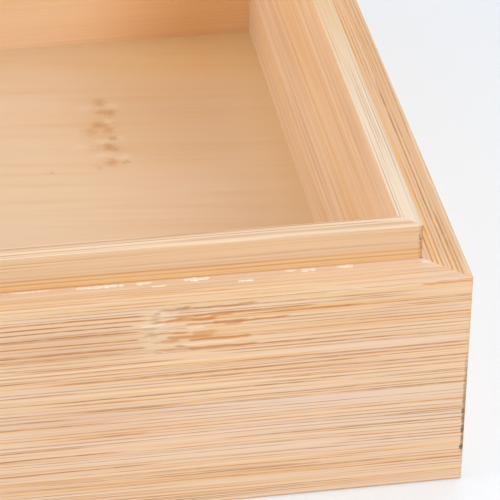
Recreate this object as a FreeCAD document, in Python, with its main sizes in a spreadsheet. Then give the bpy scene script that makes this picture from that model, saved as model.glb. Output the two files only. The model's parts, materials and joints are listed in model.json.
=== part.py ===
"""A bamboo storage box with a proud inner liner and a hinged lid, standing open.

Millimetres. X runs along the front, Y from the front to the back, Z up. The origin is the middle of the
underside. Every board is drawn lying along X with its outer face on Y = 0, then turned into its place.
"""
import FreeCAD, Part
import math
import os

import Sketcher
from FreeCAD import Placement, Rotation, Vector

SIZES = {
    # The box
    "box_width": 250,
    "box_depth": 192,
    "wall_height": 47,
    "wall_thickness": 8,
    "liner_thickness": 4.2,
    "lip_height": 7.2,
    "floor_thickness": 3.5,
    "floor_seat": 4,
    # The lid
    "lid_height": 22,
    "lid_panel_thickness": 5,
    "lid_seat": 4,
    "lid_open_angle": 95,
    # Room between pieces
    "panel_gap": 0.1,
    "lid_clearance": 0.4,
    "seam_gap": 0.3,
    # Eased corners and edges
    "corner_radius": 0.6,
    "liner_corner_radius": 0.8,
    "outer_round": 0.6,
    "edge_round": 0.3,
    "cut_margin": 2,
    # The hinges
    "hinge_inset": 50,
    "hinge_length": 25,
    "leaf_width": 13,
    "leaf_thickness": 1,
    "barrel_radius": 2,
    "knuckle_length": 9,
    "knuckle_gap": 0.3,
    "pin_radius": 1,
    "pin_fit": 0.02,
    "pin_running_gap": 0.06,
    "stop_length": 5,
    "stop_thickness": 1,
    "stop_gap": 0.05,
    # The screws
    "screw_edge": 4,
    "screw_length": 7,
    "screw_radius": 0.9,
    "screw_tip": 1.5,
    "screw_head_radius": 1.8,
    "screw_head_height": 0.9,
    "screw_slot_width": 0.5,
    "screw_slot_depth": 0.4,
    "screw_gap": 0.05,
}


class Size:
    """A number together with the spreadsheet expression that gives it."""

    def __init__(self, value, text):
        self.value = value
        self.text = text

    def __add__(self, other):
        other = as_size(other)
        return Size(self.value + other.value, f"({self.text} + {other.text})")

    def __sub__(self, other):
        other = as_size(other)
        return Size(self.value - other.value, f"({self.text} - {other.text})")

    def __mul__(self, other):
        other = as_size(other)
        return Size(self.value * other.value, f"({self.text} * {other.text})")

    def __truediv__(self, number):
        return Size(self.value / number, f"({self.text} / {number})")

    def __neg__(self):
        return Size(-self.value, f"(-{self.text})")


def as_size(number):
    return number if isinstance(number, Size) else Size(number, str(number))


def cosine(angle):
    return Size(math.cos(math.radians(angle.value)), f"cos({angle.text} * 1 deg)")


def sine(angle):
    return Size(math.sin(math.radians(angle.value)), f"sin({angle.text} * 1 deg)")


def make_sheet(doc):
    sheet = doc.addObject("Spreadsheet::Sheet", "Sizes")
    for row, (name, number) in enumerate(SIZES.items(), start=1):
        sheet.set(f"A{row}", name)
        sheet.set(f"B{row}", str(number))
        sheet.setAlias(f"B{row}", name)
    doc.recompute()


def size(name):
    return Size(float(SIZES[name]), f"Sizes.{name}")


doc = FreeCAD.newDocument("storage_box")
make_sheet(doc)

ZERO = as_size(0)
HALF_ROOT = as_size(math.sqrt(0.5))
MARGIN = size("cut_margin")
RAIL_THICKNESS = size("wall_thickness") - size("lid_clearance")
LINER_HEIGHT = size("wall_height") - size("floor_thickness") + size("lip_height")
LID_BOTTOM = size("wall_height") + size("seam_gap")
HINGE_X = size("box_width") / 2 - size("hinge_inset")
HINGE_Y = size("box_depth") / 2 + size("barrel_radius")
HINGE_Z = size("wall_height") + size("seam_gap") / 2
OPENING = size("lid_open_angle")
LEAF_INNER = -size("barrel_radius")
LEAF_OUTER = LEAF_INNER + size("leaf_thickness")
SCREW_X = size("hinge_length") / 2 - size("screw_edge")
SCREW_DROP = size("leaf_width") - size("screw_edge")
SCREW_HOLE = size("screw_radius") + size("screw_gap")


def origin_plane(body, role):
    return next(feature for feature in body.Origin.OriginFeatures if feature.Role == role)


def new_sketch(body, name, role):
    sketch = body.newObject("Sketcher::SketchObject", name)
    sketch.AttachmentSupport = [(origin_plane(body, role), "")]
    sketch.MapMode = "FlatFace"
    return sketch


def fix_point(sketch, geometry, end, x, y):
    """Dimensions a point from the sketch's origin, or puts it on an axis."""
    for kind, distance, axis in (("DistanceX", x, -2), ("DistanceY", y, -1)):
        if distance is ZERO:
            sketch.addConstraint(Sketcher.Constraint("PointOnObject", geometry, end, axis))
        else:
            dimension = Sketcher.Constraint(kind, -1, 1, geometry, end, distance.value)
            index = sketch.addConstraint(dimension)
            sketch.setExpression(f"Constraints[{index}]", distance.text)


def fix_radius(sketch, geometry, radius):
    index = sketch.addConstraint(Sketcher.Constraint("Radius", geometry, radius.value))
    sketch.setExpression(f"Constraints[{index}]", radius.text)


def add_arc(sketch, start, end, centre, radius):
    """Adds the shorter arc between two points, and gives its index and its first and last ends."""
    first = math.atan2(start.y - centre.y, start.x - centre.x)
    last = math.atan2(end.y - centre.y, end.x - centre.x)
    turn = (last - first + math.pi) % (2 * math.pi) - math.pi
    circle = Part.Circle(centre, Vector(0, 0, 1), radius)
    if turn > 0:
        return sketch.addGeometry(Part.ArcOfCircle(circle, first, first + turn)), 1, 2
    return sketch.addGeometry(Part.ArcOfCircle(circle, last, last - turn)), 2, 1


def draw_outline(sketch, points):
    """Draws a closed outline. A point is (x, y), or (x, y, (centre x, centre y, radius)) where an arc follows."""
    stretches = []
    for point, following in zip(points, points[1:] + points[:1]):
        start = Vector(point[0].value, point[1].value, 0)
        end = Vector(following[0].value, following[1].value, 0)
        if len(point) == 2:
            stretches.append((sketch.addGeometry(Part.LineSegment(start, end)), 1, 2))
        else:
            centre_x, centre_y, radius = point[2]
            centre = Vector(centre_x.value, centre_y.value, 0)
            stretches.append(add_arc(sketch, start, end, centre, radius.value))
    for index, (geometry, first, _) in enumerate(stretches):
        before, _, last = stretches[index - 1]
        sketch.addConstraint(Sketcher.Constraint("Coincident", before, last, geometry, first))
    for point, (geometry, first, _) in zip(points, stretches):
        fix_point(sketch, geometry, first, point[0], point[1])
        if len(point) == 3:
            fix_radius(sketch, geometry, point[2][2])


def draw_rectangle(sketch, left, bottom, right, top):
    draw_outline(sketch, [(left, bottom), (right, bottom), (right, top), (left, top)])


def draw_circle(sketch, x, y, radius):
    circle = Part.Circle(Vector(x.value, y.value, 0), Vector(0, 0, 1), radius.value)
    geometry = sketch.addGeometry(circle)
    fix_point(sketch, geometry, 3, x, y)
    fix_radius(sketch, geometry, radius)


def rounded(x, y, radius, arriving, leaving):
    """Two outline points that round a square corner, from the directions of its two sides."""
    start_x = x - radius * arriving[0]
    start_y = y - radius * arriving[1]
    centre = (start_x + radius * leaving[0], start_y + radius * leaving[1], radius)
    return [(start_x, start_y, centre), (x + radius * leaving[0], y + radius * leaving[1])]


def add_pad(body, sketch, length, sides="One side", reverse=False):
    pad = body.newObject("PartDesign::Pad", sketch.Name + "_pad")
    pad.Profile = sketch
    pad.SideType = sides
    pad.Reversed = reverse
    pad.setExpression("Length", length.text)
    return pad


def add_pocket(body, sketch, length, sides="One side", reverse=False):
    pocket = body.newObject("PartDesign::Pocket", sketch.Name + "_pocket")
    pocket.Profile = sketch
    pocket.SideType = sides
    pocket.Reversed = reverse
    pocket.setExpression("Length", length.text)
    return pocket


def place(piece, x, y, z, turn=Rotation(), on_lid=False):
    """Puts a piece in its place with the box shut, then swings a lid piece open about the hinge axis."""
    if on_lid:
        back = y - HINGE_Y
        up = z - HINGE_Z
        y = HINGE_Y + back * cosine(OPENING) + up * sine(OPENING)
        z = HINGE_Z - back * sine(OPENING) + up * cosine(OPENING)
        turn = Rotation(Vector(1, 0, 0), -OPENING.value) * turn
    piece.Placement = Placement(Vector(x.value, y.value, z.value), turn)
    for axis, distance in zip("xyz", (x, y, z)):
        piece.setExpression(f"Placement.Base.{axis}", distance.text)


def wall_section():
    """An outer board: eased edges outside, and a rebate for the floor at the inner foot."""
    thickness = size("wall_thickness")
    height = size("wall_height")
    foot = size("outer_round")
    rim = size("edge_round")
    return (rounded(ZERO, ZERO, foot, (0, -1), (1, 0))
            + [(thickness - size("floor_seat"), ZERO),
               (thickness - size("floor_seat"), size("floor_thickness")),
               (thickness, size("floor_thickness")),
               (thickness, height)]
            + rounded(ZERO, height, rim, (-1, 0), (0, -1)))


def liner_section():
    """An inner board: square at the foot, with both top edges eased."""
    thickness = size("liner_thickness")
    ease = size("edge_round")
    return ([(ZERO, ZERO), (thickness, ZERO)]
            + rounded(thickness, LINER_HEIGHT, ease, (0, 1), (-1, 0))
            + rounded(ZERO, LINER_HEIGHT, ease, (-1, 0), (0, -1)))


def rail_section():
    """A rail of the lid's frame: a rebate for the panel at the inner top."""
    height = size("lid_height")
    ledge = height - size("lid_panel_thickness")
    return (rounded(ZERO, ZERO, size("edge_round"), (0, -1), (1, 0))
            + [(RAIL_THICKNESS, ZERO),
               (RAIL_THICKNESS, ledge),
               (RAIL_THICKNESS - size("lid_seat"), ledge),
               (RAIL_THICKNESS - size("lid_seat"), height)]
            + rounded(ZERO, height, size("outer_round"), (-1, 0), (0, -1)))


def mitre_outline(half_length, thickness, radius, side):
    """What a mitre takes off one end in plan, leaving half of the rounded outer corner."""
    arc_x = half_length - radius
    reach = radius * HALF_ROOT
    points = [(arc_x + reach, radius - reach),
              (half_length - thickness - MARGIN, thickness + MARGIN),
              (half_length + MARGIN, thickness + MARGIN),
              (half_length + MARGIN, -MARGIN),
              (arc_x, -MARGIN)]
    arc_start = (arc_x * side, ZERO, (arc_x * side, radius, radius))
    return [arc_start] + [(x * side, y) for x, y in points]


def make_board(label, length, section, thickness, height, radius):
    """A board along X with its outer face on Y = 0, its section carried along and both ends mitred."""
    body = doc.addObject("PartDesign::Body", label)
    profile = new_sketch(body, label + "_section", "YZ_Plane")
    draw_outline(profile, section)
    add_pad(body, profile, length, "Symmetric")
    for name, side in (("_low_mitre", -1), ("_high_mitre", 1)):
        mitre = new_sketch(body, label + name, "XY_Plane")
        draw_outline(mitre, mitre_outline(length / 2, thickness, radius, side))
        add_pocket(body, mitre, height + MARGIN, reverse=True)
    return body


def add_screw_holes(body, height):
    """Holes for the screws of both hinges, bored from a board's outer face."""
    holes = new_sketch(body, body.Name + "_screw_holes", "XZ_Plane")
    for hinge in (-HINGE_X, HINGE_X):
        for x in (hinge - SCREW_X, hinge + SCREW_X):
            draw_circle(holes, x, height, SCREW_HOLE)
    add_pocket(body, holes, size("screw_length") - size("leaf_thickness") + size("screw_gap"))


def make_frame(names, section, thickness, height, radius, inset, bottom, on_lid=False):
    """Four mitred boards round the box, from the front anticlockwise, set in from its outside."""
    half_width = size("box_width") / 2 - inset
    half_depth = size("box_depth") / 2 - inset
    places = [(half_width, ZERO, -half_depth), (half_depth, half_width, ZERO),
              (half_width, ZERO, half_depth), (half_depth, -half_width, ZERO)]
    boards = []
    for quarter, (name, (half_length, x, y)) in enumerate(zip(names, places)):
        board = make_board(name, half_length * 2, section, thickness, height, radius)
        place(board, x, y, bottom, Rotation(Vector(0, 0, 1), 90 * quarter), on_lid)
        boards.append(board)
    return boards


def make_panel(label, inset, thickness, bottom, on_lid=False):
    """A flat panel let into the rebates of its frame."""
    half_width = size("box_width") / 2 - inset - size("panel_gap")
    half_depth = size("box_depth") / 2 - inset - size("panel_gap")
    body = doc.addObject("PartDesign::Body", label)
    plan = new_sketch(body, label + "_plan", "XY_Plane")
    draw_rectangle(plan, -half_width, -half_depth, half_width, half_depth)
    add_pad(body, plan, thickness)
    place(body, ZERO, ZERO, bottom, on_lid=on_lid)
    return body


def start_leaf(label, low, high):
    """A hinge leaf's plate against the wood, on the pin's own frame."""
    body = doc.addObject("PartDesign::Body", label)
    plate = new_sketch(body, label + "_plate", "YZ_Plane")
    draw_rectangle(plate, LEAF_INNER, low, LEAF_OUTER, high)
    add_pad(body, plate, size("hinge_length"), "Symmetric")
    return body


def finish_leaf(body, bore, screw_height):
    """The bore for the pin and the two screw holes."""
    hole = new_sketch(body, body.Name + "_bore", "YZ_Plane")
    draw_circle(hole, ZERO, ZERO, bore)
    add_pocket(body, hole, size("hinge_length") + MARGIN, "Symmetric")
    holes = new_sketch(body, body.Name + "_holes", "XZ_Plane")
    for x in (-SCREW_X, SCREW_X):
        draw_circle(holes, x, screw_height, SCREW_HOLE)
    add_pocket(body, holes, size("barrel_radius") * 2 + MARGIN, "Symmetric")


def add_barrel(body, length):
    barrel = new_sketch(body, body.Name + "_barrel", "YZ_Plane")
    draw_circle(barrel, ZERO, ZERO, size("barrel_radius"))
    add_pad(body, barrel, length, "Symmetric")


def add_knuckle_room(body, length):
    """Clears the way for the other leaf's knuckle."""
    room = new_sketch(body, body.Name + "_room", "YZ_Plane")
    draw_circle(room, ZERO, ZERO, size("barrel_radius") + size("knuckle_gap"))
    add_pocket(body, room, length, "Symmetric")


def make_box_leaf(label):
    """The fixed leaf, with a knuckle at each end."""
    body = start_leaf(label, -size("leaf_width"), ZERO)
    add_barrel(body, size("hinge_length"))
    add_knuckle_room(body, size("knuckle_length") + size("knuckle_gap") * 2)
    finish_leaf(body, size("pin_radius") + size("pin_fit"), -SCREW_DROP)
    return body


def stop_outline():
    """The stop tail, drawn against the fixed leaf as it lies with the lid open and turned back to shut."""
    near = LEAF_OUTER + size("stop_gap")
    far = near + size("stop_thickness")
    corners = [(near, -size("stop_length")), (far, -size("stop_length")), (far, ZERO), (near, ZERO)]
    return [(y * cosine(OPENING) - z * sine(OPENING), y * sine(OPENING) + z * cosine(OPENING))
            for y, z in corners]


def make_lid_leaf(label):
    """The moving leaf, with one knuckle in the middle and the tail that stops the lid."""
    body = start_leaf(label, ZERO, size("leaf_width"))
    add_knuckle_room(body, size("hinge_length") + MARGIN)
    tongue = new_sketch(body, label + "_tongue", "YZ_Plane")
    draw_rectangle(tongue, LEAF_INNER, ZERO, LEAF_OUTER, size("leaf_width") / 2)
    add_pad(body, tongue, size("knuckle_length"), "Symmetric")
    add_barrel(body, size("knuckle_length"))
    stop = new_sketch(body, label + "_stop", "YZ_Plane")
    draw_outline(stop, stop_outline())
    add_pad(body, stop, size("knuckle_length"), "Symmetric")
    finish_leaf(body, size("pin_radius") + size("pin_running_gap"), SCREW_DROP)
    return body


def make_pin(label):
    pin = doc.addObject("PartDesign::Body", label)
    ring = new_sketch(pin, label + "_section", "YZ_Plane")
    draw_circle(ring, ZERO, ZERO, size("pin_radius"))
    add_pad(pin, ring, size("hinge_length"), "Symmetric")
    return pin


def make_screw(label):
    """A slotted round-head wood screw along Z, its head resting on Z = 0."""
    head = size("screw_head_radius")
    rise = size("screw_head_height")
    shank = size("screw_radius")
    length = size("screw_length")
    dome = (head * head + rise * rise) / 2
    dome_radius = Size(dome.value / rise.value, f"({dome.text} / {rise.text})")
    body = doc.addObject("PartDesign::Body", label)
    half = new_sketch(body, label + "_half", "XZ_Plane")
    draw_outline(half, [(ZERO, -length), (shank, size("screw_tip") - length), (shank, ZERO),
                        (head, ZERO, (ZERO, rise - dome_radius, dome_radius)), (ZERO, rise)])
    turned = body.newObject("PartDesign::Revolution", label + "_turned")
    turned.Profile = half
    turned.ReferenceAxis = (half, ["V_Axis"])
    turned.Angle = 360
    slot = new_sketch(body, label + "_slot", "YZ_Plane")
    half_slot = size("screw_slot_width") / 2
    draw_rectangle(slot, -half_slot, rise - size("screw_slot_depth"), half_slot, rise + MARGIN)
    add_pocket(body, slot, head * 2 + MARGIN, "Symmetric")
    return body


def make_screws(label, height, on_lid=False):
    """The screws of both hinges in one board, as one group."""
    screws = []
    head_out = Rotation(Vector(1, 0, 0), -90)
    for hinge in (-HINGE_X, HINGE_X):
        for x in (hinge - SCREW_X, hinge + SCREW_X):
            screw = make_screw(f"{label}_{len(screws) + 1}")
            place(screw, x, HINGE_Y + LEAF_OUTER, height, head_out, on_lid)
            screws.append(screw)
    group = doc.addObject("Part::Compound", label)
    group.Links = screws
    return group


def make_box():
    walls = make_frame(["front_wall", "right_wall", "back_wall", "left_wall"], wall_section(),
                       size("wall_thickness"), size("wall_height"), size("corner_radius"), ZERO, ZERO)
    add_screw_holes(walls[2], HINGE_Z - SCREW_DROP)
    liners = make_frame(["front_liner", "right_liner", "back_liner", "left_liner"], liner_section(),
                        size("liner_thickness"), LINER_HEIGHT, size("liner_corner_radius"),
                        size("wall_thickness"), size("floor_thickness"))
    floor = make_panel("floor_panel", size("wall_thickness") - size("floor_seat"), size("floor_thickness"), ZERO)
    return walls + liners + [floor]


def make_lid():
    rails = make_frame(["lid_front_rail", "lid_right_rail", "lid_back_rail", "lid_left_rail"], rail_section(),
                       RAIL_THICKNESS, size("lid_height"), size("corner_radius"), ZERO, LID_BOTTOM, True)
    add_screw_holes(rails[2], HINGE_Z + SCREW_DROP - LID_BOTTOM)
    panel = make_panel("lid_panel", RAIL_THICKNESS - size("lid_seat"), size("lid_panel_thickness"),
                       LID_BOTTOM + size("lid_height") - size("lid_panel_thickness"), True)
    return rails + [panel]


def make_hinges():
    pieces = []
    for side, x in (("left", -HINGE_X), ("right", HINGE_X)):
        box_leaf = make_box_leaf(f"{side}_hinge_box_leaf")
        lid_leaf = make_lid_leaf(f"{side}_hinge_lid_leaf")
        pin = make_pin(f"{side}_hinge_pin")
        place(box_leaf, x, HINGE_Y, HINGE_Z)
        place(lid_leaf, x, HINGE_Y, HINGE_Z, on_lid=True)
        place(pin, x, HINGE_Y, HINGE_Z)
        pieces += [box_leaf, lid_leaf, pin]
    pieces.append(make_screws("box_hinge_screws", HINGE_Z - SCREW_DROP))
    pieces.append(make_screws("lid_hinge_screws", HINGE_Z + SCREW_DROP, on_lid=True))
    return pieces


def check_document():
    for item in doc.Objects:
        if "Invalid" in item.State or "Error" in item.State:
            raise RuntimeError(f"{item.Label} failed: {item.State}")


def write_parts(pieces):
    for piece in pieces:
        if piece.Shape.isNull() or not piece.Shape.isValid():
            raise RuntimeError(f"{piece.Label} has no valid shape")
    os.makedirs("parts", exist_ok=True)
    for piece in pieces:
        piece.Shape.exportStep(f"parts/{piece.Label}.step")
        print(f"{piece.Label}: {len(piece.Shape.Solids)} solid(s), {piece.Shape.Volume:.1f} mm3")


pieces = make_box() + make_lid() + make_hinges()
doc.recompute()
check_document()
write_parts(pieces)
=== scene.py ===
"""Looks of the bamboo storage box: bamboo on every board, brass hinges, and dried glue along the liner.

Blender's unit is the metre, and the frame is the model's own. Sizes written here are millimetres, and MM
turns them into metres. In the bamboo, "along" runs with the fibres and "face" and "depth" across them.
"""

import json
import math
import random
from dataclasses import dataclass

import bmesh
import bpy
from mathutils import Matrix, Vector


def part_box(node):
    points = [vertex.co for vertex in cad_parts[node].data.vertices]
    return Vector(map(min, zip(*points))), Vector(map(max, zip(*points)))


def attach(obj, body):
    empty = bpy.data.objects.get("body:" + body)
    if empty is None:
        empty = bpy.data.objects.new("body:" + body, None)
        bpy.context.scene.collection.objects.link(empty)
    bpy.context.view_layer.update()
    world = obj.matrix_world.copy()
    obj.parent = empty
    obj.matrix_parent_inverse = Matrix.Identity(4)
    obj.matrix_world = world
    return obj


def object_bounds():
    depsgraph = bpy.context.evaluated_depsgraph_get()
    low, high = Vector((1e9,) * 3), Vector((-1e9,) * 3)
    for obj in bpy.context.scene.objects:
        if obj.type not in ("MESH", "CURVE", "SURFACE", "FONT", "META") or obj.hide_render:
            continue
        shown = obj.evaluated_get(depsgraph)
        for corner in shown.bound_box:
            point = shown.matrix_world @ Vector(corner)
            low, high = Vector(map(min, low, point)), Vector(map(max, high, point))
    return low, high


MM = 0.001
TO_MM = 1000.0

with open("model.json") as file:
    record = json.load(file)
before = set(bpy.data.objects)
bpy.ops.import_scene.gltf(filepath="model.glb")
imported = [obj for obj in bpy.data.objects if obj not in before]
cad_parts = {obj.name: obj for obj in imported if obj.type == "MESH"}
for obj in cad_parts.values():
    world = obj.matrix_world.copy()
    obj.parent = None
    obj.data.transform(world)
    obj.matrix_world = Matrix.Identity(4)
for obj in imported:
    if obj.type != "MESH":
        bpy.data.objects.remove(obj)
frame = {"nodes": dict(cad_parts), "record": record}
cad_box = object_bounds()

# The camera, from a fit to the photograph's edges. Angles are degrees.
AIM = Vector((84.64, -85.01, 50.05)) * MM
CAMERA_DISTANCE = 517.2 * MM
CAMERA_AZIMUTH = -9.744
CAMERA_ELEVATION = 32.916
CAMERA_ROLL = 0.581
CAMERA_NEAR = 10.0 * MM
LENS = 199.96
SENSOR = 36.0

# The studio: a wide floor just under the box, a pale world that shows lighter than it lights, and soft lamps
FLOOR_HALF = 2500.0 * MM
FLOOR_DROP = 0.05 * MM
FLOOR_LIFT = 0.2
FLOOR_SHADES = [(227, 232, 237), (233, 238, 243)]
WORLD_SHADE = (250, 250, 252)
WORLD_LIGHT = 0.52
WORLD_SHOWN = 0.95
LAMP_SIZE = 600.0 * MM
LAMP_DISTANCE = 1300.0 * MM
LAMP_AIM = Vector((50.0, 0.0, 30.0)) * MM

LID_JOINT = frame["record"]["behaviour"]["joints"][0]
HINGE_POINT = Vector(LID_JOINT["pos_m"])
LID_OPENING = math.radians(LID_JOINT["range_deg"][1])

# Bamboo as the photograph shows it, in screen values: pale field, warmer and pinker bands, brown fibres
FIELD = (242, 210, 181)
WARM = (240, 200, 154)
PINK = (232, 206, 187)
HAIR = (208, 160, 118)
PALE_HAIR = (250, 228, 202)
SHINE = (255, 222, 184)
FIBRE = (164, 101, 52)
WARM_FIBRE = (188, 111, 44)
GLOW = (246, 186, 106)
CREAM = (252, 228, 204)
CORE = (238, 210, 172)
FLAME = (206, 134, 72)
SPECK = (138, 88, 62)
TAN = (226, 178, 126)
RAW_END = (84, 56, 42)
END_GRAIN = (208, 146, 104)
END_DOT = (150, 84, 58)
ORANGE = (250, 204, 142)
ORANGE_LINE = (206, 136, 68)
ROSE = (222, 178, 145)
TOP_LINE = (196, 150, 120)
AMBER = (230, 178, 116)
HONEY = (229, 191, 151)
SAND = (226, 204, 170)
# The next two serve only for painted light and shade, on the back liner and the floor
EMBER = (255, 190, 100)
STRAW = (255, 206, 132)
RUST = (202, 132, 76)
BROWN = (158, 106, 72)
SMOKE = (180, 146, 116)
SMUDGE = (204, 146, 92)

# The other materials, in screen values
BRASS = (214, 180, 112)
TARNISH = (190, 150, 84)
GLUE = (255, 248, 232)
GLUE_DUST = (255, 236, 208)


def tint(red, green, blue):
    """A colour from its 0 to 255 screen values, as the linear values that shaders take."""
    linear = []
    for channel in (red, green, blue):
        level = channel / 255.0
        linear.append(level / 12.92 if level <= 0.04045 else ((level + 0.055) / 1.055) ** 2.4)
    return (*linear, 1.0)


class Graph:
    """The nodes of a material or world, added and joined by short calls. Each call gives an output socket."""

    # Sockets of the Mix node that hold the amount, the two colours and the result
    MIX_AMOUNT, MIX_FIRST, MIX_SECOND, MIX_RESULT = 0, 6, 7, 2

    def __init__(self, owner):
        owner.use_nodes = True
        self.tree = owner.node_tree
        self.tree.nodes.clear()

    def put(self, socket, value):
        if isinstance(value, bpy.types.NodeSocket):
            self.tree.links.new(value, socket)
        else:
            socket.default_value = value

    def node(self, kind, inputs=None, **settings):
        made = self.tree.nodes.new(kind)
        for key, value in settings.items():
            setattr(made, key, value)
        for key, value in (inputs or {}).items():
            self.put(made.inputs[key], value)
        return made

    def math(self, operation, *values):
        return self.node("ShaderNodeMath", dict(enumerate(values)), operation=operation).outputs[0]

    def add(self, first, second):
        return self.math("ADD", first, second)

    def minus(self, first, second):
        return self.math("SUBTRACT", first, second)

    def times(self, product, *factors):
        for factor in factors:
            product = self.math("MULTIPLY", product, factor)
        return product

    def larger(self, first, second):
        return self.math("MAXIMUM", first, second)

    def size(self, value):
        return self.math("ABSOLUTE", value)

    def gap(self, value, place):
        """How far a value is from a place, to either side."""
        return self.size(self.minus(value, place))

    def fade(self, value, start, end):
        """Rises smoothly from 0 at start to 1 at end, whichever is larger."""
        rising = start < end
        inputs = {"Value": value, "From Min": min(start, end), "From Max": max(start, end),
                  "To Min": 0.0 if rising else 1.0, "To Max": 1.0 if rising else 0.0}
        return self.node("ShaderNodeMapRange", inputs, interpolation_type="SMOOTHSTEP").outputs["Result"]

    def between(self, value, start, end, softness):
        """1 from start to end, fading over the softness to either side of both."""
        return self.times(self.fade(value, start - softness, start + softness),
                          self.fade(value, end + softness, end - softness))

    def vector(self, x, y, z):
        return self.node("ShaderNodeCombineXYZ", {"X": x, "Y": y, "Z": z}).outputs[0]

    def parts(self, vector):
        return self.node("ShaderNodeSeparateXYZ", {"Vector": vector}).outputs

    def place(self, *scale):
        """The object's own coordinates, times a scale for each axis."""
        point = self.node("ShaderNodeTexCoord").outputs["Object"]
        return self.node("ShaderNodeMapping", {"Vector": point, "Scale": scale}).outputs[0]

    def mix(self, amount, first, second):
        inputs = {self.MIX_AMOUNT: amount, self.MIX_FIRST: first, self.MIX_SECOND: second}
        return self.node("ShaderNodeMix", inputs, data_type="RGBA").outputs[self.MIX_RESULT]

    def noise(self, vector, detail):
        return self.node("ShaderNodeTexNoise", {"Vector": vector, "Scale": 1.0, "Detail": detail}).outputs

    def cells(self, vector):
        return self.node("ShaderNodeTexVoronoi", {"Vector": vector, "Scale": 1.0}).outputs

    def finish(self, shader, output="ShaderNodeOutputMaterial"):
        self.put(self.node(output).inputs["Surface"], shader)


class Grain:
    """Positions in one board, in millimetres: along the fibres, and across them on the face and in depth."""

    # Axes along the fibres, across the face that shows, and into the board
    AXES = {"X": (0, 2, 1), "Y": (1, 2, 0), "Y_top": (1, 0, 2), "flat": (0, 1, 2)}
    # How far a face looks up where it starts to count as the top, and where it does in full
    TOP_FACING = (0.6, 0.95)
    # How far one step of the seed moves a pattern, and how much more it moves it on the face and in depth
    SEED_SHIFT, FACE_SHIFT, DEPTH_SHIFT = 7.31, 1.7, 2.3

    def __init__(self, graph, direction, seed, on_lid):
        self.graph = graph
        self.seed = seed
        coordinates = graph.node("ShaderNodeTexCoord").outputs
        point = coordinates["Object"]
        normal = coordinates["Normal"]
        if on_lid:
            point = self.shut(point, HINGE_POINT)
            normal = self.shut(normal, Vector())
        scaled = graph.node("ShaderNodeVectorMath", {0: point, "Scale": TO_MM}, operation="SCALE").outputs[0]
        place = graph.parts(scaled)
        facing = graph.parts(normal)
        along, face, depth = self.AXES[direction]
        self.along, self.face, self.depth = place[along], place[face], place[depth]
        self.straight = self.face
        self.height = place[2]
        self.end = graph.size(facing[along])
        self.top = graph.fade(facing[2], *self.TOP_FACING)

    def shut(self, vector, centre):
        """Turns a place on the open lid back to where it is with the lid shut."""
        inputs = {"Vector": vector, "Center": centre, "Angle": LID_OPENING}
        return self.graph.node("ShaderNodeVectorRotate", inputs, rotation_type="X_AXIS").outputs[0]

    def stretched(self, length, width, offset):
        """Texture coordinates in which a fibre is one unit long and one unit wide."""
        graph = self.graph
        shift = self.seed * self.SEED_SHIFT + offset
        return graph.vector(graph.add(graph.times(self.along, 1.0 / length), shift),
                            graph.add(graph.times(self.face, 1.0 / width), shift * self.FACE_SHIFT),
                            graph.add(graph.times(self.depth, 1.0 / width), shift * self.DEPTH_SHIFT))

    def noise(self, length, width, offset, detail=1.0):
        """Noise from 0 to 1, drawn out along the fibres."""
        return self.graph.noise(self.stretched(length, width, offset), detail)["Fac"]

    def swerves(self, length, width, offset, detail):
        """Two such noises that differ, each about 0."""
        noises = self.graph.parts(self.graph.noise(self.stretched(length, width, offset), detail)["Color"])
        return self.graph.minus(noises[0], 0.5), self.graph.minus(noises[1], 0.5)

    def lean(self, slope):
        """Sets the fibres at a slope to the board's edge."""
        self.face = self.graph.add(self.face, self.graph.times(self.along, slope))

    def wander(self, length, width, reach):
        """Lets the fibres drift to and fro across the board."""
        on_face, in_depth = self.swerves(length, width, offset=3.7, detail=2.0)
        self.face = self.graph.add(self.face, self.graph.times(on_face, reach))
        self.depth = self.graph.add(self.depth, self.graph.times(in_depth, reach))


@dataclass
class Look:
    """What sets one board's bamboo apart. Strengths run from 0 to 1, and places are millimetres."""

    # Direction of the fibres, the seed of the patterns, and whether the board is on the lid
    direction: str
    seed: float
    on_lid: bool = False
    # Scale of red, green and blue, and slope of the fibres to the board's edge
    tone: tuple = (1.0, 1.0, 1.0)
    slope: float = 0.0
    # Strengths of the brown fibres, the evenly spaced ones among them, the finest hairs and the broad bands
    bold: float = 0.65
    even: float = 0.75
    fine: float = 0.4
    bands: float = 0.55
    # Length, width and shade of the streaks
    streaks: tuple = (110.0, 1.1, PINK)
    # On faces that look up: strengths of a cream tint, of a calming of the fibres, and of close fine lines
    cream_top: float = 0.0
    calm_top: float = 0.0
    lined_top: float = 0.0
    # Strength of the end grain, and where its strip and the raw fibres start along the board, with 0 for none
    end_grain: float = 0.15
    strip_from: float = 0.0
    raw_from: float = 0.0
    # Marks at places of their own, each list as the function that draws it says
    knuckles: tuple = ()
    lines: tuple = ()
    stains_and_shade: tuple = ()
    seams: tuple = ()
    rim_lines: tuple = ()
    fibres: tuple = ()
    spots: tuple = ()


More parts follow.
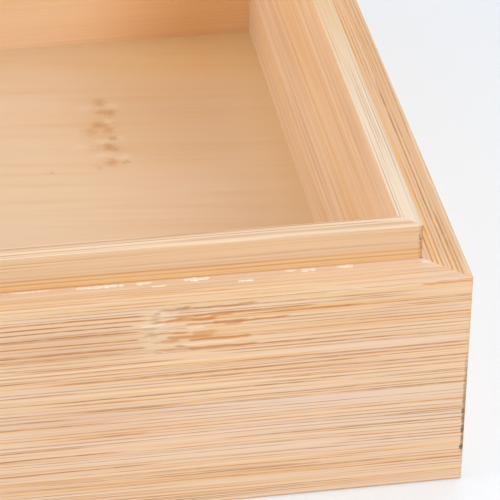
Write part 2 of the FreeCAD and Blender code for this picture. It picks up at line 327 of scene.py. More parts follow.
class Knuckle:
    """A joint of the cane across a board, ragged along the fibres.

    The fibres stop at a pale core and jog sideways past it, with orange flames and dark specks behind it.
    """

    RAGGED = 15.0
    JOG = 0.7
    FLAME_LENGTH, FLAME_WIDTH = 14.0, 0.75
    SPECK_LENGTH, SPECK_WIDTH, SPECK_STRENGTH = 2.6, 0.5, 0.6

    def __init__(self, grain, along, face, half_width, core=0.7, flames=0.9):
        graph = grain.graph
        inside = graph.fade(graph.gap(grain.face, face), half_width, half_width * 0.75)
        fray_place = graph.vector(graph.times(grain.face, 1.5), graph.times(grain.depth, 1.5), grain.seed)
        fray = graph.minus(graph.noise(fray_place, 4.0)["Fac"], 0.5)
        past = graph.minus(grain.along, graph.add(graph.times(fray, self.RAGGED), along))
        self.core = graph.times(graph.fade(graph.size(past), 3.4, 1.8), inside, core)
        tail = graph.times(graph.fade(past, 1.0, 2.5), graph.fade(past, 17.0, 6.0))
        flame = self.blotch(grain, past, self.FLAME_LENGTH, self.FLAME_WIDTH, rim=0.6, middle=0.25)
        self.flame = graph.times(flame, tail, inside, flames)
        length = self.SPECK_LENGTH
        near = graph.fade(graph.gap(past, length), length * 1.6, length * 0.6)
        speck = self.blotch(grain, past, length, self.SPECK_WIDTH, rim=0.55, middle=0.15)
        self.speck = graph.times(near, speck, inside, self.SPECK_STRENGTH)
        grain.face = graph.add(grain.face, graph.times(graph.fade(past, -2.5, 2.5), inside, self.JOG))

    def blotch(self, grain, past, length, width, rim, middle):
        """Blotches along the fibres, of which some are missing."""
        graph = grain.graph
        place = graph.vector(graph.times(past, 1.0 / length), graph.times(grain.face, 1.0 / width),
                             graph.add(graph.times(grain.depth, 1.0 / width), grain.seed))
        cells = graph.cells(place)
        chance = graph.fade(graph.parts(cells["Color"])[1], 0.35, 0.75)
        return graph.times(graph.fade(cells["Distance"], rim, middle), chance)


def bundles(grain, length, width, rim, core, offset):
    """Vascular bundles: threads along the grain, with a halo and a pale or dark leaning of their own."""
    graph = grain.graph
    cells = graph.cells(grain.stretched(length, width, offset))
    chance = graph.parts(cells["Color"])
    strength = graph.fade(chance[0], 0.1, 0.9)
    thread = graph.times(graph.fade(cells["Distance"], rim, core), strength)
    halo = graph.times(graph.fade(cells["Distance"], 0.75, rim * 0.6), strength)
    return thread, halo, graph.fade(chance[1], 0.45, 0.55)


def fibre_lines(grain, spacing):
    """Fine fibres a nearly even space apart, that wobble and fade in and out along the board."""
    graph = grain.graph
    wobble = grain.noise(length=90.0, width=4.0, offset=41.0)
    across = graph.times(graph.add(grain.face, graph.times(grain.depth, 0.7)), 1.0 / spacing)
    turns = graph.add(across, graph.times(wobble, 1.3))
    wave = graph.math("SINE", graph.times(turns, 2.0 * math.pi))
    presence = grain.noise(length=35.0, width=1.1, offset=43.0)
    return graph.times(graph.fade(wave, 0.4, 0.98), graph.fade(presence, 0.34, 0.6))


def bold_lines(grain, lines):
    """The boldest fibres and the glow round them.

    Each has a place across the board, a start and an end along it, a strength, and a length of fading out.
    """
    graph = grain.graph
    half_width, core, fading_in = 0.3, 0.05, 9.0
    ripple = graph.minus(grain.noise(length=16.0, width=4.0, offset=67.0), 0.5)
    across = graph.add(grain.straight, graph.times(ripple, 0.35))
    glow = 0.0
    for place, start, end, strength, fading_out in lines:
        line = graph.times(graph.fade(graph.gap(across, place), half_width, core),
                           graph.fade(grain.along, start - fading_in, start + fading_in), strength,
                           graph.fade(grain.along, end + fading_out, end - fading_out))
        glow = graph.larger(line, glow)
    return graph.fade(glow, 0.3, 0.95), glow


class Bamboo:
    """A bamboo board's material: coats of colour laid over the pale field one after another."""

    # Space between the even fibres, and between the finer ones on the top
    FIBRE_SPACING, TOP_SPACING = 0.8, 0.42
    # Softness of a tip's edge along the board
    TIP_FADE = 0.15
    # Heights between which the raw fibres on a tip set in, give out, and turn blotchy
    RAW_FOOT, RAW_HEAD, RAW_BLOTCHES = (6.0, 8.0), (32.0, 24.0), (24.0, 12.0)

    def __init__(self, name, look):
        self.look = look
        self.material = bpy.data.materials.new(name)
        self.graph = Graph(self.material)
        self.grain = Grain(self.graph, look.direction, look.seed, look.on_lid)
        if look.slope:
            self.grain.lean(look.slope)
        self.grain.wander(length=120.0, width=26.0, reach=1.5)
        self.knuckles = [Knuckle(self.grain, **knuckle) for knuckle in look.knuckles]
        self.threads, self.halo = self.brown_fibres()
        self.hairs, _, self.pale = bundles(self.grain, length=130.0, width=0.34, rim=0.55, core=0.2,
                                           offset=23.0)
        streak_length, streak_width, self.streak_shade = look.streaks
        self.streak = self.grain.noise(streak_length, streak_width, offset=5.0, detail=2.0)
        self.colour = self.dye(FIELD)
        self.lay_ground()
        self.lay_fibres()
        self.lay_top()
        self.lay_knuckles_and_edge_light()
        self.lay_stains_and_shade(look.spots)
        self.lay_ends()
        self.finish()

    def dye(self, shade):
        return (*(level * scale for level, scale in zip(tint(*shade), self.look.tone)), 1.0)

    def lay(self, amount, shade):
        """Lays one shade over the colour so far, as thick as the amount."""
        self.colour = self.graph.mix(amount, self.colour, self.dye(shade))

    def brown_fibres(self):
        """Where the brown fibres lie, and the halo round them."""
        graph, grain, look = self.graph, self.grain, self.look
        threads, halo, _ = bundles(grain, length=240.0, width=0.42, rim=0.32, core=0.12, offset=0.0)
        if look.lines:
            bold, glow = bold_lines(grain, look.lines)
            threads = graph.larger(threads, bold)
            halo = graph.larger(halo, glow)
        threads = graph.larger(threads, graph.times(fibre_lines(grain, self.FIBRE_SPACING), look.even))
        grit = graph.fade(grain.noise(length=4.0, width=0.5, offset=83.0, detail=2.0), 0.3, 0.6)
        threads = graph.times(threads, graph.add(graph.times(grit, 0.45), 0.55))
        if look.calm_top:
            calm = graph.minus(1.0, graph.times(grain.top, look.calm_top))
            threads = graph.times(threads, calm)
            halo = graph.times(halo, calm)
        return threads, halo

    def lay_ground(self):
        """Broad bands, streaks, stains and painted light and shade, the cream top, and the seams.

        Each seam has its place across the board, half width, strength and shade.
        """
        graph, grain, look = self.graph, self.grain, self.look
        broad = grain.noise(length=260.0, width=7.0, offset=11.0)
        self.lay(graph.times(graph.fade(broad, 0.35, 0.68), 0.7 * look.bands), WARM)
        self.lay(graph.times(graph.fade(self.streak, 0.45, 0.7), 0.7 * look.bands), self.streak_shade)
        self.lay_stains_and_shade(look.stains_and_shade)
        if look.cream_top:
            self.lay(graph.times(grain.top, look.cream_top), CREAM)
        for place, half_width, strength, shade in look.seams:
            self.lay(graph.times(graph.fade(graph.gap(grain.face, place), half_width, 0.0), strength), shade)

    def lay_fibres(self):
        """Pale and dark hairs, an orange flush, and the brown fibres with their halo."""
        graph, look = self.graph, self.look
        hair_colour = graph.mix(self.pale, self.dye(HAIR), self.dye(SHINE))
        self.colour = graph.mix(graph.times(self.hairs, look.fine), self.colour, hair_colour)
        flush = self.grain.noise(length=70.0, width=0.6, offset=91.0)
        self.lay(graph.times(graph.fade(flush, 0.52, 0.72), 0.5 * look.bold), GLOW)
        self.lay(graph.times(self.halo, 0.55 * look.bold), GLOW)
        fibre_colour = graph.mix(graph.fade(flush, 0.42, 0.6), self.dye(FIBRE), self.dye(WARM_FIBRE))
        self.colour = graph.mix(graph.times(self.threads, look.bold), self.colour, fibre_colour)

    def lay_top(self):
        """Lines on faces that look up: close fine ones, and the rim's own, one a cream band of painted light.

        Each of the rim's has a place across it, a start and an end along it, half width, shade and strength.
        """
        graph, grain, look = self.graph, self.grain, self.look
        if look.lined_top:
            self.lay(graph.times(fibre_lines(grain, self.TOP_SPACING), grain.top, look.lined_top), TOP_LINE)
        for place, start, end, half_width, shade, strength in look.rim_lines:
            line = graph.fade(graph.gap(grain.depth, place), half_width, 0.0)
            span = graph.between(grain.along, start, end, softness=3.0)
            self.lay(graph.times(line, span, grain.top, strength), shade)

    def lay_knuckles_and_edge_light(self):
        """The knuckles, short rippled fibres at them, and a painted highlight line along an edge.

        Each fibre has its place across the board, start and end along it, half width, shade and strength.
        """
        graph, grain = self.graph, self.grain
        for knuckle in self.knuckles:
            self.lay(knuckle.core, CORE)
            self.lay(knuckle.flame, FLAME)
            self.lay(knuckle.speck, SPECK)
        ripple = graph.minus(grain.noise(length=6.0, width=2.5, offset=71.0, detail=2.0), 0.5)
        across = graph.add(grain.straight, graph.times(ripple, 1.1))
        for place, start, end, half_width, shade, strength in self.look.fibres:
            line = graph.times(graph.fade(graph.gap(across, place), half_width, half_width * 0.3),
                               graph.fade(grain.along, start - 0.5, start + 0.7),
                               graph.fade(grain.along, end + 1.0, end - 0.8))
            self.lay(graph.times(line, strength), shade)

    def lay_stains_and_shade(self, stains):
        """Soft ovals of stain and painted shade: place along, across, half length, half width, shade,
        strength.
        """
        graph, grain = self.graph, self.grain
        ragged_along, ragged_across = grain.swerves(length=1.6, width=0.9, offset=61.0, detail=3.0)
        along = graph.add(grain.along, graph.times(ragged_along, 3.6))
        across = graph.add(grain.straight, graph.times(ragged_across, 2.2))
        for place_along, place_across, half_length, half_width, shade, strength in stains:
            lengthwise = graph.times(graph.minus(along, place_along), 1.0 / half_length)
            crosswise = graph.times(graph.minus(across, place_across), 1.0 / half_width)
            squares = graph.add(graph.times(lengthwise, lengthwise), graph.times(crosswise, crosswise))
            stain = graph.fade(graph.math("SQRT", squares), 1.0, 0.0)
            self.lay(graph.times(stain, strength), shade)

    def lay_ends(self):
        """End grain with its dots on the board's ends, and what shows of them at its tips."""
        graph, look = self.graph, self.look
        end = graph.fade(self.grain.end, 0.12, 0.45)
        self.lay(graph.times(end, look.end_grain), END_GRAIN)
        self.lay(graph.times(end, graph.larger(self.threads, self.hairs), look.end_grain), END_DOT)
        if look.strip_from:
            self.lay_strip(look.strip_from)
        if look.raw_from:
            self.lay_raw_tip(look.raw_from)

    def lay_strip(self, start):
        """The narrow strip of end grain where a board's tip shows past the mitre."""
        graph, grain = self.graph, self.grain
        strip = graph.fade(graph.size(grain.along), start - self.TIP_FADE, start + self.TIP_FADE)
        place = graph.vector(graph.times(grain.straight, 1.3), graph.times(grain.along, 1.6), grain.seed)
        cells = graph.cells(place)
        chance = graph.fade(graph.parts(cells["Color"])[0], 0.2, 0.5)
        dots = graph.times(graph.fade(cells["Distance"], 0.5, 0.2), chance)
        self.lay(graph.times(strip, 0.3), END_GRAIN)
        self.lay(graph.times(strip, dots, 0.8), END_DOT)

    def lay_raw_tip(self, start):
        """Dark raw fibres on a board's tip, low on the corner and more ragged towards the foot."""
        graph, grain = self.graph, self.grain
        fray = graph.noise(graph.vector(grain.seed, graph.times(grain.height, 0.7), 0.0), 3.0)["Fac"]
        reach = graph.add(graph.size(grain.along), graph.times(graph.minus(fray, 0.5), 1.2))
        tip = graph.fade(reach, start - self.TIP_FADE, start + self.TIP_FADE)
        span = graph.times(graph.fade(grain.height, *self.RAW_FOOT), graph.fade(grain.height, *self.RAW_HEAD))
        blotch = graph.times(graph.fade(fray, 0.4, 0.6), graph.fade(grain.height, *self.RAW_BLOTCHES))
        self.lay(graph.times(tip, span, graph.add(graph.times(blotch, 0.5), 0.4)), RAW_END)

    def finish(self):
        """Satin gloss, duller on the streaks and fibres."""
        graph = self.graph
        roughness = graph.add(graph.times(self.streak, 0.2), graph.add(graph.times(self.threads, 0.1), 0.45))
        inputs = {"Base Color": self.colour, "Roughness": roughness, "Specular IOR Level": 0.3}
        graph.finish(graph.node("ShaderNodeBsdfPrincipled", inputs).outputs[0])


def brass(name, brushed):
    """Satin brass with fine brush marks, so many in a metre's length, and a little tarnish."""
    marks_across = 9000.0
    spots = 130.0
    material = bpy.data.materials.new(name)
    graph = Graph(material)
    marks = graph.noise(graph.place(brushed, marks_across, marks_across), 3.0)["Fac"]
    dull = graph.noise(graph.place(spots, spots, spots), 4.0)["Fac"]
    colour = graph.mix(graph.fade(dull, 0.35, 0.75), tint(*BRASS), tint(*TARNISH))
    roughness = graph.add(graph.times(marks, 0.16), graph.add(graph.times(dull, 0.12), 0.24))
    bump = graph.node("ShaderNodeBump", {"Strength": 0.2, "Distance": 0.02 * MM, "Height": marks}).outputs[0]
    inputs = {"Base Color": colour, "Metallic": 1.0, "Roughness": roughness, "Normal": bump}
    graph.finish(graph.node("ShaderNodeBsdfPrincipled", inputs).outputs[0])
    return material


def dried_glue():
    """Wood glue dried to a milky skin, dusty in places."""
    specks = 900.0
    material = bpy.data.materials.new("dried_glue")
    graph = Graph(material)
    dust = graph.noise(graph.place(specks, specks, specks), 3.0)["Fac"]
    colour = graph.mix(graph.fade(dust, 0.35, 0.7), tint(*GLUE), tint(*GLUE_DUST))
    roughness = graph.add(graph.times(dust, 0.3), 0.3)
    inputs = {"Base Color": colour, "Roughness": roughness}
    graph.finish(graph.node("ShaderNodeBsdfPrincipled", inputs).outputs[0])
    return material


# Marks on the front board. A place across it is a height, and a place across its rim counts along Y.
FRONT_LINES = [(44.8, -20.0, 63.5, 1.1, 2.0), (43.8, 10.0, 64.5, 0.95, 2.0), (42.8, 30.0, 61.5, 1.0, 2.0),
               (41.4, -20.0, 62.5, 1.05, 2.0), (39.6, 0.0, 62.5, 1.1, 2.0), (37.7, -60.0, 63.5, 1.1, 2.0),
               (36.7, 25.0, 62.0, 0.8, 6.0), (34.4, 38.0, 72.0, 0.85, 9.0), (32.0, 0.0, 50.0, 0.9, 9.0),
               (31.0, 44.0, 94.0, 0.85, 9.0), (28.7, 0.0, 54.0, 0.8, 9.0), (26.8, 42.0, 98.0, 0.95, 9.0),
               (26.0, 42.0, 64.0, 0.75, 9.0), (24.1, 48.0, 72.0, 0.85, 9.0), (22.9, -10.0, 52.0, 0.85, 9.0),
               (21.4, 10.0, 58.0, 0.85, 9.0), (18.2, 48.0, 66.0, 0.85, 9.0), (16.1, -30.0, 55.0, 0.85, 9.0),
               (14.3, 10.0, 60.0, 0.95, 9.0), (10.7, -90.0, 66.0, 0.95, 9.0), (44.1, 75.0, 96.0, 1.1, 6.0),
               (43.3, 80.0, 106.0, 1.1, 6.0), (44.9, 98.0, 114.0, 0.75, 9.0), (42.4, 106.0, 140.0, 0.7, 9.0),
               (41.9, 82.0, 102.0, 0.75, 9.0), (39.9, 98.0, 140.0, 0.8, 9.0), (38.4, 82.0, 94.0, 0.85, 9.0),
               (37.4, 94.0, 114.0, 0.85, 9.0), (36.4, 78.0, 106.0, 1.05, 9.0), (35.5, 74.0, 140.0, 0.85, 9.0),
               (34.8, 76.0, 140.0, 0.65, 9.0), (32.9, 76.0, 140.0, 0.8, 9.0), (32.1, 90.0, 140.0, 0.8, 9.0),
               (29.9, 66.0, 140.0, 0.85, 9.0), (28.2, 86.0, 140.0, 0.75, 9.0), (24.7, 72.0, 140.0, 0.8, 9.0),
               (19.7, 96.0, 140.0, 0.75, 9.0), (17.2, 106.0, 140.0, 0.85, 9.0), (15.2, 76.0, 140.0, 0.8, 9.0),
               (12.1, 98.0, 140.0, 0.65, 9.0), (11.5, 102.0, 140.0, 0.8, 9.0), (7.4, 60.0, 100.0, 0.8, 9.0),
               (5.9, 104.0, 140.0, 0.7, 9.0)]
FRONT_STAINS = [(104.0, 24.0, 46.0, 26.0, PINK, 0.4), (48.0, 39.5, 32.0, 8.5, ROSE, 0.6),
                (102.0, 42.0, 36.0, 7.5, WARM, 0.6), (50.0, 21.0, 28.0, 10.0, ROSE, 0.4),
                (76.0, 40.5, 12.0, 7.0, GLOW, 0.3), (106.0, 41.0, 30.0, 6.0, ROSE, 0.4),
                (40.0, 47.0, 60.0, 1.6, HONEY, 0.8), (104.0, 47.0, 56.0, 1.6, PINK, 0.4),
                (86.0, 47.0, 40.0, 1.6, HONEY, 0.4), (60.0, 47.0, 130.0, 2.6, SAND, 0.45)]
# The first, a wide cream band along the liner's foot, is painted light that lifts the shade in that corner
FRONT_RIM_LINES_AND_PAINTED_LIGHT = [(-88.4, -140.0, 140.0, 3.0, CREAM, 0.5), (-92.3, 60.0, 73.0, 0.35, RUST, 0.5),
                   (-95.3, 54.0, 69.0, 0.35, RUST, 0.6), (-92.9, 75.0, 80.0, 0.3, RUST, 0.5),
                   (-95.0, 80.0, 94.0, 0.5, AMBER, 0.7), (-93.2, 96.0, 111.0, 0.25, RUST, 0.4),
                   (-92.5, 108.0, 121.0, 0.3, RUST, 0.4), (-94.4, 100.0, 122.0, 0.3, RUST, 0.4),
                   (-91.2, 102.0, 119.0, 0.25, RUST, 0.3), (-93.6, 30.0, 56.0, 0.35, RUST, 0.4),
                   (-91.6, 30.0, 52.0, 0.5, AMBER, 0.6), (-90.0, 36.0, 62.0, 0.5, PALE_HAIR, 0.4),
                   (-94.2, 30.0, 60.0, 0.4, PALE_HAIR, 0.4)]
FRONT_KNUCKLE = dict(along=65.5, face=41.0, half_width=5.6, core=0.35, flames=0.3)
# The fibres that end at that knuckle and start again past it
FRONT_FIBRES = [(45.6, 69.1, 71.4, 0.3, SMOKE, 0.8), (45.8, 70.6, 71.8, 0.3, BROWN, 0.5),
                (45.6, 72.2, 75.3, 0.26, SMOKE, 0.8), (45.7, 74.8, 84.0, 0.4, RUST, 0.65),
                (44.0, 72.3, 82.0, 0.36, RUST, 0.65), (43.1, 67.0, 69.3, 0.4, FLAME, 0.8),
                (43.4, 69.1, 72.5, 0.75, ORANGE_LINE, 0.6), (43.1, 72.1, 76.4, 0.5, FLAME, 0.8),
                (43.5, 75.5, 79.5, 0.34, RUST, 0.6), (42.1, 71.0, 76.8, 0.34, RUST, 0.65),
                (42.1, 76.0, 82.0, 0.5, RUST, 0.85), (41.6, 78.0, 81.0, 0.34, RUST, 0.6),
                (41.9, 80.5, 90.0, 0.34, FLAME, 0.8), (41.4, 71.0, 74.5, 0.3, PALE_HAIR, 0.6),
                (40.4, 65.6, 69.1, 0.26, RUST, 0.7), (40.4, 68.7, 71.2, 0.42, RUST, 0.7),
                (40.1, 72.1, 76.4, 0.7, ORANGE_LINE, 0.5), (39.3, 67.4, 75.6, 0.5, ORANGE_LINE, 0.7),
                (38.6, 66.0, 69.3, 0.4, RUST, 0.6), (38.5, 71.6, 83.0, 0.42, FLAME, 0.85),
                (37.6, 70.0, 80.0, 0.3, PALE_HAIR, 0.5), (36.9, 65.0, 72.5, 0.34, RUST, 0.55),
                (36.6, 71.5, 84.0, 0.46, RUST, 0.7), (44.0, 64.4, 66.4, 0.32, SMOKE, 0.45),
                (41.6, 63.0, 65.2, 0.36, SMOKE, 0.4), (40.1, 63.0, 65.6, 0.36, SMOKE, 0.4),
                (42.4, 62.6, 66.8, 0.34, PALE_HAIR, 0.7), (44.7, 66.0, 69.5, 0.6, PALE_HAIR, 0.4),
                (46.5, 97.0, 116.0, 0.3, PALE_HAIR, 0.35), (46.5, 115.0, 130.0, 0.3, RUST, 0.55)]
# Lines along the front liner's lip: seams and painted foot shade on its face by height, and lines along its
# top
# The last seam, just above the rim, is painted shade in the corner at the liner's foot
LIP_SEAMS_AND_FOOT_SHADE = [(48.1, 1.7, 0.6, ORANGE), (48.4, 0.22, 0.55, ORANGE_LINE), (49.3, 0.28, 0.6, ORANGE_LINE),
             (47.2, 0.25, 0.5, ORANGE_LINE)]
LIP_TOP_LINES = [(-84.4, -120.0, 112.0, 0.3, TOP_LINE, 0.9), (-85.4, -120.0, 110.0, 0.25, TOP_LINE, 0.6),
                 (-86.5, -120.0, 116.0, 0.3, TOP_LINE, 0.55)]
# Marks on the floor, with its knuckle's smudges and painted light and shade, and on the back and right liners
# All but the knuckle's tan patch are painted light and shade: darker and warmer at the back, paler by the
# right wall
FLOOR_STAINS_AND_PAINTED_LIGHT = [(84.0, 52.0, 36.0, 48.0, TAN, 0.5), (71.5, 40.0, 6.5, 22.0, TAN, 0.35),
                (60.0, 88.0, 90.0, 34.0, AMBER, 0.38), (108.0, 78.0, 46.0, 34.0, STRAW, 0.5),
                (113.0, 30.0, 17.0, 90.0, PALE_HAIR, 0.38), (113.0, 30.0, 17.0, 90.0, STRAW, 0.38)]
FLOOR_SPOTS = [(74.9, 52.6, 3.0, 3.0, PALE_HAIR, 0.3), (68.5, 52.1, 3.0, 2.2, PALE_HAIR, 0.3),
               (73.1, 45.6, 2.4, 1.8, PALE_HAIR, 0.4), (71.2, 36.4, 3.4, 2.0, PALE_HAIR, 0.45),
               (70.3, 30.5, 4.4, 2.2, PALE_HAIR, 0.45), (74.9, 37.3, 2.0, 2.6, PALE_HAIR, 0.3),
               (74.8, 28.9, 3.0, 2.0, PALE_HAIR, 0.4), (65.1, 34.5, 3.6, 2.6, PALE_HAIR, 0.3),
               (72.2, 54.5, 2.4, 2.9, SMUDGE, 0.5), (71.8, 49.9, 2.2, 2.0, SMUDGE, 0.55),
               (74.0, 49.1, 2.2, 2.8, SMUDGE, 0.65), (70.8, 43.8, 2.5, 2.4, SMUDGE, 0.6),
               (68.5, 41.3, 2.8, 3.0, SMUDGE, 0.4), (72.6, 41.4, 2.0, 2.8, SMUDGE, 0.45),
               (73.5, 37.5, 1.5, 1.9, BROWN, 0.3), (71.9, 34.0, 2.6, 2.6, SMUDGE, 0.65),
               (73.4, 32.6, 2.0, 1.7, BROWN, 0.3), (71.8, 26.8, 2.3, 2.6, RUST, 0.5),
               (74.8, 26.6, 1.3, 2.0, SMOKE, 0.4), (68.8, 25.2, 2.0, 2.6, ROSE, 0.4),
               (57.6, 24.3, 1.2, 1.0, SMUDGE, 0.35)]
# Painted shade: orange, rust and pale patches tint the right end, where the right wall shades it; honey on
# the left
BACK_PAINTED_SHADE = [(112.0, 20.0, 60.0, 60.0, EMBER, 0.5), (40.0, 20.0, 50.0, 60.0, HONEY, 0.3),
               (88.0, 8.0, 17.0, 60.0, RUST, 0.12), (118.0, 8.0, 22.0, 60.0, PALE_HAIR, 0.35)]
RIGHT_STAINS = [(-52.0, 30.0, 60.0, 12.0, AMBER, 0.48), (20.0, 36.0, 60.0, 9.0, AMBER, 0.45),
                (-40.0, 49.5, 70.0, 4.5, ROSE, 0.5), (40.0, 26.0, 50.0, 7.0, ROSE, 0.4)]
# Bold fibres along the right rim
RIGHT_LINES = [(118.6, -120.0, 40.0, 0.8, 9.0), (119.5, -120.0, -30.0, 0.7, 9.0),
               (120.3, -120.0, -50.0, 0.7, 9.0), (121.7, -120.0, -20.0, 1.0, 9.0),
               (122.7, -120.0, -72.0, 0.8, 4.0), (123.3, -120.0, -80.0, 0.7, 4.0),
               (122.4, -50.0, 30.0, 0.6, 9.0)]

WOOD = {
    "front_wall": Look("X", 1.0, bold=0.72, even=0.8, fine=0.55, calm_top=0.5, raw_from=124.3,
                       knuckles=[FRONT_KNUCKLE], lines=FRONT_LINES, stains_and_shade=FRONT_STAINS,
                       rim_lines=FRONT_RIM_LINES_AND_PAINTED_LIGHT, fibres=FRONT_FIBRES),
    "right_wall": Look("Y_top", 2.0, bold=0.7, fine=0.6, raw_from=95.3, tone=(0.97, 0.97, 0.94),
                       lines=RIGHT_LINES, seams=[(119.6, 1.6, 0.5, GLOW), (123.4, 1.5, 0.4, TAN)],
                       # Its cream fibre along the rim's outer edge is a painted highlight on the eased edge
                       fibres=[(124.5, -95.0, -40.0, 0.4, CREAM, 0.45)]),
    "back_wall": Look("X", 3.0, knuckles=[dict(along=-38.0, face=20.0, half_width=8.0)]),
    "left_wall": Look("Y", 4.0, knuckles=[dict(along=22.0, face=30.0, half_width=7.0)]),
    "front_liner": Look("X", 5.0, bold=0.25, fine=0.6, cream_top=0.92, lined_top=0.8,
                        tone=(0.925, 0.9, 0.825), end_grain=0.45, strip_from=116.1,
                        seams=LIP_SEAMS_AND_FOOT_SHADE, rim_lines=LIP_TOP_LINES,
                        spots=[(116.0, 49.5, 34.0, 4.6, WARM, 0.35)]),
    "right_liner": Look("Y", 6.0, bold=0.35, fine=0.7, bands=0.9, streaks=(110.0, 1.6, ROSE),
                        cream_top=0.95, lined_top=0.6, end_grain=0.7, tone=(0.89, 0.94, 0.94),
                        stains_and_shade=RIGHT_STAINS, spots=[(10.0, 54.6, 60.0, 4.0, WARM, 0.8)]),
    "back_liner": Look("X", 7.0, bold=0.1, fine=0.15, cream_top=0.3, lined_top=0.4,
                       tone=(1.02, 1.035, 0.96), stains_and_shade=BACK_PAINTED_SHADE),
    "left_liner": Look("Y", 8.0, bold=0.4, cream_top=0.5, lined_top=0.5, end_grain=0.7),
    "floor_panel": Look("flat", 9.0, slope=0.11, bold=0.03, fine=0.1, bands=0.34,
                        streaks=(50.0, 3.4, AMBER), tone=(0.893, 0.96, 0.965),
                        stains_and_shade=FLOOR_STAINS_AND_PAINTED_LIGHT, spots=FLOOR_SPOTS),
    "lid_front_rail": Look("X", 10.0, on_lid=True),
    "lid_right_rail": Look("Y", 11.0, on_lid=True),
    "lid_back_rail": Look("X", 12.0, on_lid=True),
    "lid_left_rail": Look("Y", 13.0, on_lid=True),
    "lid_panel": Look("flat", 14.0, on_lid=True, bold=0.5,
                      knuckles=[dict(along=-52.0, face=30.0, half_width=11.0),
                                dict(along=47.0, face=-35.0, half_width=12.0)]),
}
BRASS_NODES = [name for name in frame["nodes"] if "hinge" in name]
# Brush marks in a metre's length, long on the leaves and short on the screws
LEAF_BRUSHED = 300.0
SCREW_BRUSHED = 2500.0


def dress(node, material):
    slots = frame["nodes"][node].data.materials
    slots.clear()
    slots.append(material)


def dress_nodes():
    for node, look in WOOD.items():
        dress(node, Bamboo(node + "_bamboo", look).material)
    leaf_brass = brass("leaf_brass", LEAF_BRUSHED)
    screw_brass = brass("screw_brass", SCREW_BRUSHED)
    for node in BRASS_NODES:
        dress(node, screw_brass if "screws" in node else leaf_brass)


# Where glue was pressed out between the liner and the rim: start, end, width and distance from the liner
GLUE_RUNS = [(40.0, 46.5, 0.5, 0.2), (52.4, 56.2, 1.0, 0.3), (57.3, 60.2, 1.1, 0.3), (63.2, 65.6, 0.9, 0.3),
             (66.2, 68.2, 0.4, 1.8), (72.4, 76.4, 1.15, 0.3), (82.0, 84.0, 0.45, 2.4), (91.7, 92.3, 0.7, 0.3),
             (94.4, 96.1, 1.1, 0.4), (101.0, 103.8, 1.1, 0.3), (117.4, 118.6, 0.4, 1.2)]
# A crumb's least and most length, share of its run's width, and step to the next as a share of its length
CRUMB_LENGTHS = (0.7, 2.0)
CRUMB_WIDTHS = (0.55, 1.0)
CRUMB_STEPS = (0.4, 0.9)
# A crumb's half length and half width, its height as a share of its width, its swelling and its setting out
CRUMB_HALF = 0.6
CRUMB_HEIGHT = 0.15
CRUMB_SWELL = 0.25
CRUMB_OUT = 0.3


def shape_crumb(crumb, x, y, z, length, width):
    """Turns a ball into a flattened crumb, swollen unevenly."""
    for vertex in crumb:
        ball = vertex.co.copy()
        swell = 1.0 + CRUMB_SWELL * math.sin(5.0 * ball.x + 7.0 * x) * math.cos(4.0 * ball.y + x)
        vertex.co = Vector((x * MM + ball.x * length * CRUMB_HALF * MM,
                            y + ball.y * width * swell * CRUMB_HALF * MM,
                            z + ball.z * width * swell * CRUMB_HEIGHT * MM))


def glue_beads():
    """Flattened crumbs of glue in the corner between the liner's face and the rim."""
    draw = random.Random(7)
    corner_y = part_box("front_liner")[0].y
    rim_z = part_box("front_wall")[1].z
    mesh = bmesh.new()
    for start, end, run_width, distance in GLUE_RUNS:
        x = start
        while x < end:
            length = draw.uniform(*CRUMB_LENGTHS)
            width = run_width * draw.uniform(*CRUMB_WIDTHS)
            crumb = bmesh.ops.create_icosphere(mesh, subdivisions=3, radius=1.0)["verts"]
            y = corner_y - (distance + width * CRUMB_OUT) * MM
            shape_crumb(crumb, x, y, rim_z, length, width)
            x += length * draw.uniform(*CRUMB_STEPS)
    data = bpy.data.meshes.new("glue_beads")
    mesh.to_mesh(data)
    mesh.free()
    data.polygons.foreach_set("use_smooth", [True] * len(data.polygons))
    data.materials.append(dried_glue())
    beads = bpy.data.objects.new("glue_beads", data)
    bpy.context.scene.collection.objects.link(beads)
    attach(beads, "box")


def seen_directly(graph):
    """1 for rays from the camera, from glossy surfaces and through clear ones, else 0."""
    path = graph.node("ShaderNodeLightPath").outputs
    in_or_through = graph.larger(path["Is Glossy Ray"], path["Is Transmission Ray"])
    return graph.larger(path["Is Camera Ray"], in_or_through)


def studio_floor():
    """A wide pale floor under the box, shown a little lighter than it is lit."""
    material = bpy.data.materials.new("studio_floor")
    graph = Graph(material)
    cloud = graph.noise(graph.place(1.0, 1.0, 1.0), 2.0)["Fac"]
    colour = graph.mix(cloud, *(tint(*shade) for shade in FLOOR_SHADES))
    matt = graph.node("ShaderNodeBsdfDiffuse", {"Color": colour}).outputs[0]
    lift = graph.times(seen_directly(graph), FLOOR_LIFT)
    light = graph.node("ShaderNodeEmission", {"Color": colour, "Strength": lift}).outputs[0]
    graph.finish(graph.node("ShaderNodeAddShader", {0: matt, 1: light}).outputs[0])
    corners = [(x * FLOOR_HALF, y * FLOOR_HALF, 0.0) for x, y in ((-1, -1), (1, -1), (1, 1), (-1, 1))]
    mesh = bpy.data.meshes.new("studio_floor")
    mesh.from_pydata(corners, [], [(0, 1, 2, 3)])
    mesh.materials.append(material)
    plane = bpy.data.objects.new("studio_floor", mesh)
    plane.location.z = cad_box[0].z - FLOOR_DROP
    bpy.context.scene.collection.objects.link(plane)


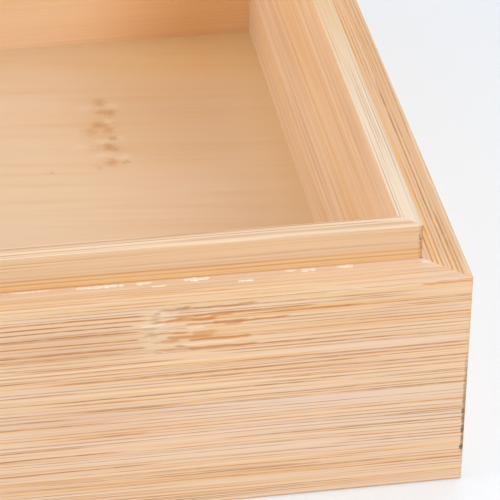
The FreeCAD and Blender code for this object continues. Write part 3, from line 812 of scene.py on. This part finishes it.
def studio_world():
    """Even pale surroundings, shown lighter than they light."""
    world = bpy.data.worlds.new("studio")
    graph = Graph(world)
    strength = graph.add(graph.times(seen_directly(graph), WORLD_SHOWN - WORLD_LIGHT), WORLD_LIGHT)
    background = graph.node("ShaderNodeBackground", {"Color": tint(*WORLD_SHADE), "Strength": strength})
    graph.finish(background.outputs[0], "ShaderNodeOutputWorld")
    bpy.context.scene.world = world


def outward(azimuth, elevation):
    """The direction out from the box at these angles. Azimuth counts from the front towards the right."""
    turn = math.radians(azimuth)
    rise = math.radians(elevation)
    return Vector((math.sin(turn) * math.cos(rise), -math.cos(turn) * math.cos(rise), math.sin(rise)))


def area_light(name, azimuth, elevation, watts):
    """A round soft white lamp that points at the box."""
    direction = outward(azimuth, elevation)
    lamp = bpy.data.lights.new(name, "AREA")
    lamp.shape = "DISK"
    lamp.size = LAMP_SIZE
    lamp.energy = watts
    light = bpy.data.objects.new(name, lamp)
    light.location = LAMP_AIM + direction * LAMP_DISTANCE
    light.rotation_euler = direction.to_track_quat("Z", "Y").to_euler()
    bpy.context.scene.collection.objects.link(light)


def studio_lights():
    """A soft key from the front right, a fill from the left and a little light from behind on the right."""
    area_light("key", azimuth=30.0, elevation=35.0, watts=7.2)
    area_light("left_fill", azimuth=-90.0, elevation=15.0, watts=9.4)
    area_light("back_light", azimuth=150.0, elevation=75.0, watts=2.8)


def photo_camera():
    """The photograph's view: a long lens near the front right corner."""
    direction = outward(CAMERA_AZIMUTH, CAMERA_ELEVATION)
    lens = bpy.data.cameras.new("photo_camera")
    lens.lens = LENS
    lens.sensor_width = SENSOR
    lens.clip_start = CAMERA_NEAR
    camera = bpy.data.objects.new("photo_camera", lens)
    upright = (-direction).to_track_quat("-Z", "Y").to_matrix().to_4x4()
    roll = Matrix.Rotation(math.radians(CAMERA_ROLL), 4, "Z")
    camera.matrix_world = Matrix.Translation(AIM + direction * CAMERA_DISTANCE) @ upright @ roll
    bpy.context.scene.collection.objects.link(camera)
    bpy.context.scene.camera = camera


dress_nodes()
glue_beads()
studio_floor()
studio_world()
studio_lights()
photo_camera()
bpy.context.scene.view_settings.view_transform = "Standard"
